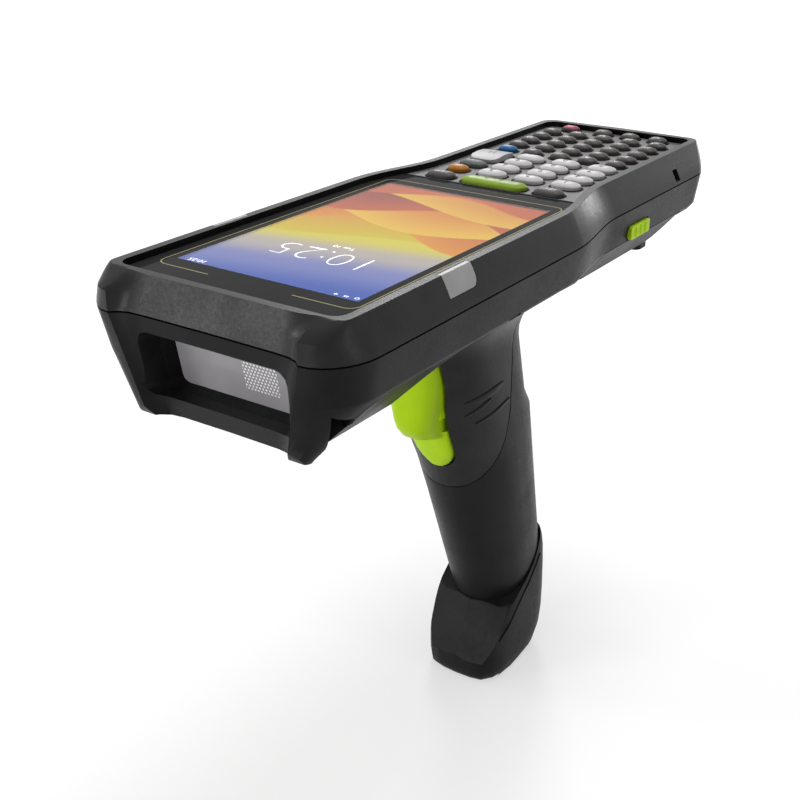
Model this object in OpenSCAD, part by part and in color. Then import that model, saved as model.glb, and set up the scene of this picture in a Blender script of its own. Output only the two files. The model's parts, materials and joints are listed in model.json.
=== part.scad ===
// Handheld barcode data terminal on a pistol grip, in millimetres.
// +Z is up and +Y runs from the scan end to the keypad end. The origin lies under the middle
// of the overall length, on the surface that the butt stands on. Every drop is measured
// downwards from the top of the screen glass.

/* [Screen] */
// Width of the lit screen area
screen_w = 51.8; // [46:0.1:58]
// Length of the lit screen area
screen_l = 86.4; // [78:0.1:96]
// Glass beside the lit area
glass_border = 5.3; // [4:0.1:8]
// Glass between the lit area and the scan end
glass_brow = 13.8; // [10:0.1:18]
// Glass between the lit area and the keypad
glass_chin = 10.4; // [7:0.1:14]
// Thickness of the cover glass
glass_t = 1.2; // [0.8:0.1:1.6]
// Thickness of the display panel under the glass
panel_t = 1.6; // [1.2:0.1:2]

/* [Keypad] */
// Spacing of the key rows
row_pitch = 7.75; // [7.4:0.05:8.4]
// Spacing of the number key columns
digit_pitch = 12; // [11.6:0.1:13]
// Length of a number key
digit_l = 8.8; // [8.2:0.1:9.6]
// Width of a number key
digit_w = 5.6; // [5:0.1:6]
// Spacing of the letter key columns
letter_pitch = 9.4; // [9:0.1:9.8]
// Length of a letter key
letter_l = 6.2; // [5.8:0.1:7]
// Width of a letter key
letter_w = 4.7; // [4:0.1:5.2]
// Length of the green scan bar
bar_l = 20.6; // [18:0.1:22]
// Width of the green scan bar
bar_w = 6; // [5.4:0.1:6.4]
// Height of the keys above the keypad plate
key_h = 1.9; // [1.6:0.1:2.4]
// How far a key goes down
key_travel = 0.8; // [0.5:0.1:1]
// Thickness of the keypad plate
plate_t = 1.2; // [1:0.1:1.5]

/* [Shell] */
// Width of the flat top of the rim
rim_w = 2.3; // [1.8:0.1:3]
// Height of the rim above the glass
rim_h = 1.7; // [1:0.1:2.5]
// How far the head's sides slope out, rim to parting line
rim_draft = 3.9; // [2.5:0.1:5]
// How far the keypad end's sides slope out, rim to parting line
tail_draft = 4.9; // [3.5:0.1:6]
// Drop of the parting line between the two housings
part_drop = 7; // [6.6:0.1:8]
// Drop of the lower edge of the side walls
wall_drop = 16.9; // [16:0.1:19]
// Drop of the underside at the keypad end
tail_drop = 18.6; // [18:0.1:20]
// Drop of the belly over the handle
belly_drop = 27.4; // [26.5:0.1:30]
// Wall thickness of the housings
wall = 2.4; // [2:0.1:3]
// How far the underside is chamfered in at each side of the head
head_chamfer = 14; // [12:0.1:15]
// How far the underside is chamfered in at each side of the keypad end
tail_chamfer = 8.4; // [7:0.1:9]
// Length of the waist between the head and the keypad end
waist_l = 34; // [26:0.5:40]

/* [Scan end] */
// Half the distance between the ridges of the two corner posts
ridge_half = 26.8; // [24:0.1:29]
// How far the flat scan end face lies behind the ridges
face_set = 2.9; // [1.5:0.1:4]
// How far the scan end face leans back up to the rim
face_rake = 2.7; // [1.5:0.1:4]
// Lean of the posts towards the middle, in degrees
post_lean = 14.6; // [8:0.1:18]
// Drop of the feet of the posts
foot_drop = 32; // [30:0.1:33]
// Drop of the chin under the scan window
chin_drop = 34; // [33:0.1:36]
// How far the chin reaches back under the screen
chin_l = 22.5; // [16:0.5:30]
// Width of the scan window
window_w = 37; // [32:0.1:38]
// Height of the scan window
window_h = 13.8; // [12:0.1:14]
// Drop of the window's upper edge
window_drop = 12.6; // [12:0.1:14]
// Distance of the window behind the ridges
window_set = 12.6; // [11:0.1:14]
// Tilt of the window, top edge forward, in degrees
window_tilt = 11; // [0:0.5:15]

/* [Battery] */
// Length of the battery pack along the keypad end
battery_l = 54.5; // [52:0.5:56]
// Drop of the underside of the battery pack
battery_drop = 27; // [25:0.1:28]
// Length of a battery latch button
latch_l = 13; // [11:0.1:14]
// Height of a battery latch button
latch_h = 4; // [3.4:0.1:4]
// How far a battery latch goes in
latch_travel = 1.6; // [1.2:0.1:1.6]

/* [Handle] */
// Height of the handle from the butt's sole to the belly
grip_h = 134.9; // [120:0.1:145]
// Width of the handle under the belly
grip_w = 33; // [30:0.1:36]
// Depth of the handle, front to back, under the belly
grip_depth = 47.2; // [44:0.1:50]
// Lean of the handle's front line, in degrees
front_lean = 21; // [18:0.1:22]
// Lean of the handle's back line, in degrees
back_lean = 14.4; // [12:0.1:16]
// Distance of the handle's front behind the screen's front edge
grip_set = 54.3; // [50:0.1:56]
// Height of the butt
butt_h = 36; // [30:0.5:42]
// Wall thickness of the handle
grip_wall = 2.6; // [2:0.1:3]

/* [Trigger] */
// Width of the trigger
trigger_w = 16.6; // [15:0.1:18]
// Pull of the trigger, in degrees
trigger_pull = 7; // [4:0.5:7]
// Radius of the trigger's pin
pin_r = 1.5; // [1.2:0.1:2]

/* [Fits] */
// Gap between pieces that are fixed to each other
fit = 0.1; // [0.05:0.01:0.2]
// Width of the visible seams
seam = 0.4; // [0.3:0.05:0.6]
// Gap round a moving piece
run_gap = 0.3; // [0.25:0.01:0.4]
// Radial gap of the trigger on its pin
pin_gap = 0.05; // [0.02:0.01:0.08]

/* [Hidden] */
$fn = 48;

// ---- heights ----
belly_z = grip_h;
glass_z = belly_z + belly_drop;
function height(drop) = glass_z - drop;

// ---- keypad rows: the function row, then ten rows up to the keypad end ----
letter_rows = 6;
number_rows = 4;
row_count = number_rows + letter_rows;
bar_lead = 3.7;
bar_pitch = 9.4;
pad_end = 3.8;
pad_border = 3.2;
keypad_l = bar_lead + bar_pitch + (row_count - 1) * row_pitch + pad_end;

// ---- stations along the length ----
divider = 0.5;
tail_rake = 0.8;
body_l = face_set + face_rake + rim_w + glass_brow + screen_l + glass_chin + divider
    + keypad_l + rim_w + tail_rake;
y_front = -body_l / 2;
y_face = y_front + face_set;
y_rim = y_face + face_rake;
y_well = y_rim + rim_w;
y_screen = y_well + glass_brow;
y_chin = y_screen + screen_l;
y_glass_end = y_chin + glass_chin;
y_plate = y_glass_end + divider;
y_plate_end = y_plate + keypad_l;
y_rear = y_plate_end + rim_w + tail_rake;
y_bar = y_plate + bar_lead;
function row_y(row) = y_bar + bar_pitch + row * row_pitch;

// ---- half widths ----
well_head = screen_w / 2 + glass_border + fit;
well_tail = 1.5 * digit_pitch + digit_l / 2 + pad_border;
head_half = well_head + rim_w + rim_draft;
tail_half = well_tail + rim_w + tail_draft;
wall_draft = 1.4;
waist_y = y_glass_end - 0.5 * waist_l;

// ---- depths under the glass and the keypad ----
seat_drop = glass_t + fit;
ledge_t = 1.5;
ledge_w = 2.6;
pad_ledge = 1.6;
end_ledge = 0.6;
ledge_drop = seat_drop + ledge_t;
plate_drop = 0.1;
flange_t = 0.7;
flange_w = 0.5;
key_bottom = plate_drop + plate_t + run_gap + flange_t;
dome_drop = key_bottom + key_travel + run_gap;
dome_h = 0.9;
mat_t = 0.7;
mat_drop = dome_drop + dome_h;
key_board_t = 1;
frame_drop = mat_drop + mat_t + key_board_t;
frame_t = 0.8;

// ==== outlines ====
function lerp(a, b, t) = a + (b - a) * t;
function clamp(t) = max(0, min(1, t));
function ease(t) = let (u = clamp(t)) u * u * (3 - 2 * u);
function arc(cx, cy, rx, ry, from, to, steps) =
    [for (i = [0:steps]) let (a = lerp(from, to, i / steps)) [cx + rx * cos(a), cy + ry * sin(a)]];
function power_of(v, e) = sign(v) * pow(abs(v), e);
// Closes a right-hand half outline, which starts and ends on the middle plane
function both_sides(right) =
    concat(right, [for (i = [len(right) - 2:-1:1]) [-right[i][0], right[i][1]]]);
function at_height(outline, z) = [for (q = outline) [q[0], q[1], z]];

// Skins a stack of rings, each wound the same way, with a fan at either end
module loft(rings, first_hub, last_hub) {
    n = len(rings[0]);
    top = 2 + (len(rings) - 1) * n;
    polyhedron(
        points = concat([first_hub, last_hub], [for (ring = rings) for (q = ring) q]),
        faces = concat(
            [for (j = [0:n - 1]) [0, 2 + j, 2 + (j + 1) % n]],
            [for (j = [0:n - 1]) [1, top + (j + 1) % n, top + j]],
            [for (i = [0:len(rings) - 2]) for (j = [0:n - 1]) for (half = [0, 1])
                let (a = 2 + i * n + j, b = 2 + i * n + (j + 1) % n)
                half == 0 ? [a, a + n, b + n] : [a, b + n, b]]
        )
    );
}

// ---- outer form of the two housings, as plan outlines at a height h above the glass ----
function rise(h) = clamp((h + part_drop) / (rim_h + part_drop));
function fall(h) = clamp((-part_drop - h) / (wall_drop - part_drop));
// Share of the underside's chamfer at a height: 1 at the given drop
function under(h, drop) = max(0, -wall_drop - h) / (drop - wall_drop);
function wall_x(half, draft, h) = half - draft * pow(rise(h), 1.3) - wall_draft * fall(h);
function head_x(h) = wall_x(head_half, rim_draft, h) - head_chamfer * under(h, belly_drop);
function tail_x(h) = wall_x(tail_half, tail_draft, h) - tail_chamfer * under(h, belly_drop);
function chin_x(h) = wall_x(head_half, rim_draft, h) - chin_chamfer * under(h, chin_drop);
function post_x(h) = wall_x(head_half, rim_draft, h) - post_in * under(h, foot_drop);
function side_x(y, h) = lerp(head_x(h), tail_x(h), ease((y - waist_y) / waist_l));

chin_chamfer = 17.2;
post_in = 11.5;
post_l = 13.5;
foot_l = 3;
foot_round = 2.6;
rim_corner = 6;
rim_square = 0.36;
ridge_top = 2;
mouth_drop = window_drop - 1.8;
sill_drop = window_drop + window_h - 0.2;
lip_set = 3.4;
lip_rake = 0.34;
function below_part(h) = max(0, -h - part_drop);
function face_y(h) = y_face + face_rake * rise(h)
    + lip_set * clamp((-h - mouth_drop) / (sill_drop - mouth_drop)) + lip_rake * max(0, -h - sill_drop);
function ridge_x(h) = ridge_half - tan(post_lean) * below_part(h);
// Share of the slope by which a post's ridge falls back to the rim
function ridge_fall(h) = clamp((h + ridge_top) / (rim_h + ridge_top));
function ridge_y(h) = lerp(y_front + tan(post_lean) / 2 * below_part(h), y_rim + 1.2, ridge_fall(h));
function corner_l(h) = lerp(lerp(post_l, foot_l, clamp(under(h, foot_drop))), rim_corner, ridge_fall(h));
function rear_y(h) = y_rear - tail_rake * rise(h);

tail_r = 12.5;
tail_r_rim = 4.3;
function tail_corner(h) = lerp(tail_r, tail_r_rim, rise(h));
tail_crown = 0.8;
chin_end = y_screen + chin_l;
chin_slope = 13;
function shell_half(h) = let (
        rx = ridge_x(h), ry = ridge_y(h), fy = face_y(h), px = post_x(h), cx = chin_x(h),
        len_y = corner_l(h), back = ry + len_y, square = lerp(1, rim_square, ridge_fall(h)), tr = tail_corner(h)
    )
    concat(
        [[0, fy], [0.42 * rx, fy - 0.1], [0.7 * rx, fy - 0.2]],
        [[0.85 * rx, lerp(fy, ry, 0.16)], [0.94 * rx, lerp(fy, ry, 0.5)]],
        [for (i = [0:7]) let (a = 90 * i / 7)
            [rx + (px - rx) * power_of(sin(a), square), back - len_y * power_of(cos(a), square)]],
        [[lerp(px, cx, 0.6), back + 3.5], [cx, back + 8], [cx, chin_end]],
        [[lerp(cx, head_x(h), 0.5), chin_end + 0.5 * chin_slope], [head_x(h), chin_end + chin_slope]],
        [for (i = [0:8]) let (y = waist_y + waist_l * i / 8) [side_x(y, h), y]],
        arc(tail_x(h) - tr, rear_y(h) - tr, tr, tr, 0, 90, 6),
        [[0, rear_y(h) + tail_crown]]
    );
function shell_ring(h) = at_height(both_sides(shell_half(h)), glass_z + h);

// Solid of the shell between the heights of the first and the last entry
module shell(heights) {
    loft([for (h = heights) shell_ring(h)],
        [0, 0, glass_z + heights[0]], [0, 0, glass_z + heights[len(heights) - 1]]);
}

// ---- inner edge of the rim, which the glass and the keypad plate fill ----
well_r = 3.4;
function well_half(head_grow, tail_grow, rear_grow, rear_r) = concat(
    [[0, y_well - head_grow]],
    arc(well_head - well_r, y_well + well_r, well_r + head_grow, well_r + head_grow, -90, 0, 6),
    [for (i = [0:8]) let (t = i / 8)
        [lerp(well_head + head_grow, well_tail + tail_grow, ease(t)), waist_y + waist_l * t]],
    arc(well_tail + tail_grow - rear_r, y_plate_end + rear_grow - rear_r, rear_r, rear_r, 0, 90, 6),
    [[0, y_plate_end + rear_grow]]
);
module well(head_grow, tail_grow, rear_grow, rear_r = well_r) {
    polygon(both_sides(well_half(head_grow, tail_grow, rear_grow, rear_r)));
}
module well_slab(grow, from_y, to_y, drop, t) {
    translate([0, 0, height(drop + t)])
        linear_extrude(t)
            intersection() {
                well(grow, grow, grow, well_r + grow);
                translate([-100, from_y]) square([200, to_y - from_y]);
            }
}

// ==== housings ====
body_grey = [0.13, 0.13, 0.135];
dark = [0.07, 0.07, 0.075];
lime = [0.64, 0.84, 0.08];
cavity_grow = head_half - wall_draft - wall - well_head;
cavity_grow_tail = tail_half - wall_draft - wall - well_tail;
cavity_grow_rear = rim_w + tail_rake - wall;
cavity_r = tail_r - wall - 1;

led_l = 12.2;
led_y = y_screen + 20.4;
led_drop = 3.3;
led_set = 1.1;
led_r = 2.5;
// Region that a light pipe fills at the outside of the rim, one lower corner rounded
module led_region(side, gap) {
    x = well_head + led_set - gap;
    mirror([side < 0 ? 1 : 0, 0, 0])
        translate([x, led_y - gap, height(led_drop + gap)])
            rotate([90, 0, 90])
                linear_extrude(20)
                    union() {
                        square([led_l + 2 * gap - led_r, 20]);
                        translate([0, led_r]) square([led_l + 2 * gap, 20]);
                        translate([led_l + 2 * gap - led_r, led_r]) circle(led_r);
                    }
}

port_w = 3.2;
port_h = 3.4;
port_y = y_rear - 28.5;
port_drop = 4.2;
port_depth = 5;
// Slot for a security cable in the right-hand side of the keypad end
module port_cut() {
    x = tail_half - tail_draft;
    translate([x + 1, port_y, height(port_drop)])
        cube([2 * port_depth, port_w, port_h], center = true);
}

module front_housing() color(body_grey) {
    low = -part_drop + seam / 2;
    difference() {
        shell([low, -5.6, -3.8, -2, -0.4, 0.8, rim_h - 0.3, rim_h]);
        translate([0, 0, height(seat_drop)]) linear_extrude(10) well(0, 0, 0);
        well_slab(0, y_plate - divider / 2, y_plate_end, -1, plate_drop + plate_t + fit + 1);
        translate([0, 0, height(20)])
            linear_extrude(20) well(-ledge_w, -pad_ledge, -end_ledge, well_r - end_ledge);
        translate([0, 0, height(20)])
            linear_extrude(20 - ledge_drop)
                well(cavity_grow - rim_draft / 2, cavity_grow_tail - tail_draft / 2,
                    cavity_grow_rear - tail_rake / 2, cavity_r - 1);
        led_region(1, fit);
        led_region(-1, fit);
        port_cut();
    }
}

module led_pipe(side) color([0.62, 0.62, 0.62])
    intersection() {
        shell([-part_drop, -5.6, -3.8, -2, -0.4, 0.8, rim_h - 0.3, rim_h]);
        led_region(side, 0);
    }

// ---- rear housing ----
battery_y = y_glass_end + 14;
module side_profile(points) {
    translate([-100, 0, 0])
        rotate([90, 0, 90])
            linear_extrude(200)
                polygon([for (q = points) [q[0], height(q[1])]]);
}
// Everything under the belly, the chin and the keypad end
module underside_cut() {
    side_profile([
        [y_front - 5, foot_drop - 5], [ridge_y(-foot_drop) - 0.4, foot_drop - foot_round],
        [ridge_y(-foot_drop) + foot_round - 1, foot_drop], [y_well - 3, foot_drop], [y_well + 12, chin_drop],
        [chin_end, chin_drop], [chin_end + chin_slope, belly_drop], [battery_y, belly_drop],
        [battery_y + 1, tail_drop], [y_rear - 3, tail_drop], [y_rear + 5, wall_drop - 3],
        [y_rear + 5, chin_drop + 5], [y_front - 5, chin_drop + 5]
    ]);
}

pocket_deep = 3.2;
// Pocket behind a post, square to the chamfer of the chin
module post_pocket(side) {
    mirror([side < 0 ? 1 : 0, 0, 0])
        translate([head_half - wall_draft, y_front, height(wall_drop)])
            rotate([0, 135, 0])
                translate([5, 0, -pocket_deep])
                    linear_extrude(20)
                        polygon([[0, 5], [0, 10.5], [8, 15], [14, 9.5]]);
}
// Narrow slot in the lower edge of the side wall
module edge_slot(side) {
    translate([side * (head_half - wall_draft), y_screen + 50.5, height(wall_drop)])
        cube([1.6, 6, 1.1], center = true);
}

// Ring of the scan window's opening: rounded, wider at the top, at a distance set by y_of(h)
function mouth_ring(top_half, low_half, top, low, r, y0, tilt) = let (
        corner = [[top_half - r, -top - r, 0], [low_half - r, -low + r, 90],
                  [-low_half + r, -low + r, 180], [-top_half + r, -top - r, 270]],
        middle = -(top + low) / 2
    )
    [for (c = corner) for (i = [0:3]) let (a = c[2] + 30 * i, h = c[1] + r * cos(a))
        [c[0] + r * sin(a), y0 - tan(tilt) * (h - middle), glass_z + h]];
y_window = y_front + window_set;
window_low = window_drop + window_h;
mouth_r = 1.8;
function glass_ring(grow, behind) = mouth_ring(window_w / 2 + grow, window_w / 2 + grow,
    window_drop - grow, window_low + grow, mouth_r, y_window + behind, window_tilt);
function front_ring(y) = mouth_ring(window_w / 2 + 4.6, window_w / 2 + 4.2,
    mouth_drop - 1, sill_drop + 1.8, mouth_r + 2, y, 0);
module mouth() {
    middle = glass_z - (window_drop + window_low) / 2;
    y0 = y_front - 2;
    loft([front_ring(y0), glass_ring(0, 0.2)], [0, y0, middle], [0, y_window + 0.2, middle]);
}
bezel_t = 1.2;
bezel_l = 4;
window_t = 1.5;
// Upright block round the window, from one distance behind its face to another
module window_block(grow, from, to) {
    middle = glass_z - (window_drop + window_low) / 2;
    loft([glass_ring(bezel_t + grow, from), glass_ring(bezel_t + grow, to)],
        [0, y_window + from, middle], [0, y_window + to, middle]);
}

scan_block = 32;
chamber_half = window_w / 2 - 1;
chamber_y = y_window + window_t - 0.5;
chamber_l = y_front + scan_block + 1 - chamber_y;
bay_half = 24.6;
latch_drop = 14.5;
latch_y = y_rear - 55.6;
module latch_hole(side) {
    translate([side * tail_half, latch_y, height(latch_drop)])
        cube([4 * wall, latch_l + 2 * run_gap, latch_h + 2 * run_gap], center = true);
}

module rear_cavity() {
    y0 = y_front + scan_block;
    floor_drop = wall_drop - 0.4;
    belly_half = 19;
    // Over the whole length, down to the level of the side walls' lower edge
    translate([0, 0, height(floor_drop)])
        linear_extrude(floor_drop)
            intersection() {
                well(cavity_grow, cavity_grow_tail, cavity_grow_rear, cavity_r);
                translate([-100, y0]) square([200, body_l]);
            }
    // Inside the belly
    translate([-belly_half, chin_end + chin_slope, height(belly_drop - wall)])
        cube([2 * belly_half, battery_y - 1.2 * wall - chin_end - chin_slope, belly_drop]);
    // Behind the scan window
    translate([-chamber_half, chamber_y, height(window_low - 0.2)])
        cube([2 * chamber_half, chamber_l, window_h - 0.4]);
    // The battery bay, open underneath
    translate([-100, battery_y - seam, height(chin_drop + 1)])
        cube([200, battery_l + 2 * seam, 1 + chin_drop - wall_drop]);
    translate([-bay_half - seam, battery_y - seam, height(chin_drop + 1)])
        cube([2 * (bay_half + seam), battery_l + 2 * seam, chin_drop]);
    for (side = [-1, 1])
        translate([side * (lug_x + 0.8), latch_y, height(wall_drop)])
            cube([3.4, latch_l - 2, 14], center = true);
}

module rear_housing() color(dark)
    difference() {
        shell([-chin_drop - 1, -31, -belly_drop, -24, -20.5, -wall_drop - 0.1, -wall_drop + 0.6,
            -13.5, -part_drop - 3, -part_drop - seam / 2]);
        underside_cut();
        rear_cavity();
        mouth();
        window_block(fit, -bezel_l, window_t);
        for (side = [-1, 1]) {
            latch_hole(side);
            post_pocket(side);
            edge_slot(side);
        }
        port_cut();
    }

seal_in = 1;
module housing_seal() color([0.03, 0.03, 0.03])
    translate([0, 0, height(part_drop + seam / 2)])
        linear_extrude(seam)
            difference() {
                well(cavity_grow + wall - seal_in, cavity_grow_tail + wall - seal_in,
                    cavity_grow_rear + wall - seal_in, tail_r - seal_in);
                well(cavity_grow + fit, cavity_grow_tail + fit, cavity_grow_rear + fit, cavity_r + fit);
            }

// ==== screen and scan window ====
module cover_glass() color([0.2, 0.2, 0.2, 0.6])
    well_slab(-fit, y_well - 5, y_glass_end, 0, glass_t);

module display_panel() color([0.85, 0.55, 0.2])
    translate([0, y_screen + screen_l / 2, height(glass_t + panel_t / 2)])
        cube([screen_w + 2.4, screen_l + 4, panel_t], center = true);

module mid_frame() color([0.6, 0.6, 0.62]) {
    inset = cavity_grow - rim_draft / 2 - 0.8;
    inset_tail = cavity_grow_tail - tail_draft / 2 - 0.8;
    translate([0, 0, height(frame_drop + frame_t)])
        linear_extrude(frame_t)
            intersection() {
                well(inset, inset_tail, cavity_grow_rear - tail_rake / 2 - 0.8, cavity_r - 1);
                translate([-100, y_well + 2]) square([200, body_l]);
            }
    // Tray that carries the display
    tray_x = screen_w / 2 + 1.2;
    translate([0, y_screen + screen_l / 2, height(frame_drop)])
        linear_extrude(frame_drop - glass_t - panel_t)
            difference() {
                square([2 * tray_x, screen_l + 4], center = true);
                square([2 * tray_x - 4, screen_l], center = true);
            }
    // Posts down to the main board
    for (x = [-1, 1], y = [board_front + 4, board_end - 4])
        translate([x * (screen_w / 2 - 4), y, height(board_drop)])
            cylinder(r = 2, h = board_drop - frame_drop - frame_t);
}

board_drop = frame_drop + frame_t + 1.6;
board_t = 1;
board_front = y_front + scan_block + 2;
board_end = y_chin - 2;
module main_board() color([0.1, 0.35, 0.2]) {
    translate([0, (board_front + board_end) / 2, height(board_drop + board_t / 2)])
        cube([screen_w, board_end - board_front, board_t], center = true);
    for (spot = [[-12, 22, 14], [12, 30, 11], [6, 58, 16]])
        translate([spot[0], y_screen + spot[1], height(board_drop + board_t + 0.6)])
            cube([spot[2], spot[2], 1.2], center = true);
}

module window_bezel() color([0.02, 0.02, 0.02])
    difference() {
        window_block(0, fit - bezel_l, -fit / 2);
        mouth();
    }

module scan_window() color([0.5, 0.5, 0.5, 0.5]) window_block(0, 0, window_t);

engine_set = 6.2;
engine_l = 9;
engine_y = y_window + engine_set;
module scan_engine() color([0.25, 0.25, 0.27]) {
    middle = height((window_drop + window_low) / 2);
    difference() {
        translate([-chamber_half + 1, engine_y, middle - window_h / 2 + 0.5])
            cube([2 * chamber_half - 2, engine_l, window_h - 1]);
        translate([-8, engine_y - 1, middle]) rotate([-90, 0, 0]) cylinder(r = 3.4, h = 5);
    }
    // Arms that carry the engine on the chamber's floor
    for (x = [-1, 1])
        translate([x * (chamber_half - 3) - 1.5, engine_y, height(window_low - 0.2)])
            cube([3, engine_l - 1, 0.8]);
}
module scan_lens() color([0.2, 0.25, 0.4, 0.6])
    translate([-8, engine_y + 0.6, height((window_drop + window_low) / 2)])
        rotate([-90, 0, 0])
            cylinder(r = 3.4 - fit, h = 3);

diffuser_w = 8.4;
diffuser_in = 9;
module aim_diffuser() color([0.9, 0.9, 0.9])
    translate([chamber_half - diffuser_in, engine_y - 0.5, height((window_drop + window_low) / 2 - 0.6)])
        cube([diffuser_w, 1, diffuser_w], center = true);

// ==== keypad ====
dome_r = 1.6;
crown = 0.9;
// A key: [x, y, length, width, kind], where kind 0 has round ends and kind 1 is a rounded block
fn_x = 17.6;
power_x = 15.7;
last_row_x = [-3.7, 6, 15.7];
function number_at(i) = [(i % 3 - 0.5) * digit_pitch, row_y(floor(i / 3)), digit_l, digit_w, 0];
function letter_at(row, col) =
    row == letter_rows - 1 ? [last_row_x[col], row_y(row_count - 1), letter_l, letter_w, 0]
    : [letter_pitch * (col - 2 + (row == 0 ? 1 : 0)), row_y(number_rows + row), letter_l, letter_w, 0];
function letter_count(row) = row == 0 ? 4 : row == letter_rows - 1 ? 3 : 5;
left_x = -1.5 * digit_pitch;
scan_bar = [0, y_bar, bar_l, bar_w, 0];
left_function = [fn_x, y_bar, digit_l, letter_w + 0.4, 0];
right_function = [-fn_x, y_bar, digit_l, letter_w + 0.4, 0];
orange = [left_x + 0.4, row_y(0), letter_l + 0.2, digit_w - 0.4, 0];
shift = [left_x + 0.8, row_y(1), digit_l - 0.4, digit_w - 0.6, 0];
enter = [left_x + 0.6, row_y(2.5), digit_l + 1, row_pitch + digit_w - 0.4, 1];
blue = [-2 * letter_pitch + 0.5, row_y(number_rows), letter_l, letter_w, 0];
power = [-power_x, row_y(row_count - 1), letter_l, letter_w, 0];
function row_keys(row) = [for (col = [0:letter_count(row) - 1]) letter_at(row, col)];
all_keys = concat(
    [scan_bar, left_function, right_function, orange, shift, enter, blue, power],
    [for (i = [0:3 * number_rows - 1]) number_at(i)],
    [for (row = [0:letter_rows - 1]) for (key = row_keys(row)) key]
);

// Outline of a key, grown by a margin
module key_outline(key, grow) {
    r = key[4] == 0 ? key[3] / 2 + grow : 2.8 + grow;
    dx = key[2] / 2 + grow - r;
    dy = key[3] / 2 + grow - r;
    translate([key[0], key[1]])
        union() {
            if (key[4] == 0) {
                square([2 * dx, 2 * r], center = true);
                for (x = [-dx, dx]) translate([x, 0]) circle(r);
            } else {
                square([2 * dx, 2 * (dy + r)], center = true);
                square([2 * (dx + r), 2 * dy], center = true);
                for (x = [-dx, dx], y = [-dy, dy]) translate([x, y]) circle(r);
            }
        }
}

// Half of a key's cross-section: a straight side under a crowned top
module key_section(half, h) {
    r = (half * half + crown * crown) / (2 * crown);
    intersection() {
        square([half, h]);
        translate([0, h - r]) circle(r);
    }
}

module key(key) {
    cap_h = key_h + plate_t + run_gap;
    base = height(plate_drop + plate_t + run_gap);
    half = key[3] / 2;
    translate([0, 0, base - flange_t])
        linear_extrude(flange_t)
            key_outline(key, flange_w);
    if (key[4] == 0) {
        dx = key[2] / 2 - half;
        translate([key[0], key[1], base]) {
            for (side = [0, 180])
                rotate([0, 0, side])
                    translate([dx, 0, 0])
                        rotate([0, 0, -90])
                            rotate_extrude(angle = 180)
                                key_section(half, cap_h);
            translate([-dx, 0, 0])
                rotate([90, 0, 90])
                    linear_extrude(2 * dx)
                        union() {
                            key_section(half, cap_h);
                            mirror([1, 0]) key_section(half, cap_h);
                        }
        }
    } else {
        r = (key[3] * key[3] / 4 + crown * crown) / (2 * crown);
        intersection() {
            translate([0, 0, base]) linear_extrude(cap_h) key_outline(key, 0);
            translate([key[0] - key[2], key[1], base + cap_h - r])
                rotate([0, 90, 0])
                    cylinder(r = r, h = 2 * key[2], $fn = 96);
        }
    }
}

module keypad_plate() color([0.2, 0.19, 0.19])
    difference() {
        well_slab(-fit, y_plate, y_plate_end, plate_drop, plate_t);
        translate([0, 0, height(plate_drop + plate_t + 1)])
            linear_extrude(plate_t + 2)
                for (key = all_keys) key_outline(key, run_gap);
    }

module keypad_mat() color([0.3, 0.3, 0.3]) {
    well_slab(-ledge_w - 0.3, y_plate, y_plate_end, mat_drop, mat_t);
    for (key = all_keys)
        translate([key[0], key[1], height(mat_drop)])
            cylinder(r = dome_r, h = dome_h);
}

module keypad_board() color([0.1, 0.35, 0.2])
    well_slab(-ledge_w - 0.3, y_plate, y_plate_end, mat_drop + mat_t, key_board_t);

// ==== battery ====
lug_l = 6;
lug_x = 28;
lug_t = 1.6;
groove = 0.7;
module battery_lug(side) {
    difference() {
        translate([side * (lug_x + lug_t / 2), latch_y, height(wall_drop + seam - 3.2)])
            cube([lug_t, lug_l, 6.4], center = true);
        translate([side * lug_x, latch_y, height(latch_drop)])
            cube([2 * groove, lug_l + 1, 2.4], center = true);
    }
}
module battery_pack() color([0.1, 0.1, 0.105]) {
    intersection() {
        shell([-belly_drop - 1, -24, -20.5, -wall_drop - seam]);
        side_profile([
            [battery_y, wall_drop - 5], [battery_y, battery_drop - 2.4], [battery_y + 2, battery_drop],
            [battery_y + battery_l - 7.5, battery_drop], [battery_y + battery_l - 3.8, battery_drop - 1.2],
            [battery_y + battery_l - 1, battery_drop - 4.6], [battery_y + battery_l, tail_drop],
            [battery_y + battery_l, wall_drop - 5]
        ]);
    }
    translate([-bay_half, battery_y, height(wall_drop + seam + 0.5)])
        cube([2 * bay_half, battery_l, 6.4]);
    battery_lug(1);
    battery_lug(-1);
}

contact_count = 5;
module battery_contacts() color([0.8, 0.65, 0.3])
    for (i = [0:contact_count - 1])
        translate([(i - (contact_count - 1) / 2) * 3.2, battery_y + 3, height(wall_drop - 7.6)])
            cube([1.6, 4, 3], center = true);

stud_x = 20.4;
stud_l = 8;
stud_w = 5;
stud_h = 1.9;
module battery_feet() color([0.02, 0.02, 0.02])
    for (x = [-stud_x, stud_x])
        translate([x, battery_y + battery_l - 6.8, height(battery_drop + stud_h)])
            linear_extrude(stud_h)
                union() {
                    square([stud_w, stud_l - stud_w], center = true);
                    for (y = [-1, 1]) translate([0, y * (stud_l - stud_w) / 2]) circle(stud_w / 2);
                }

button_out = 1;
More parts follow.
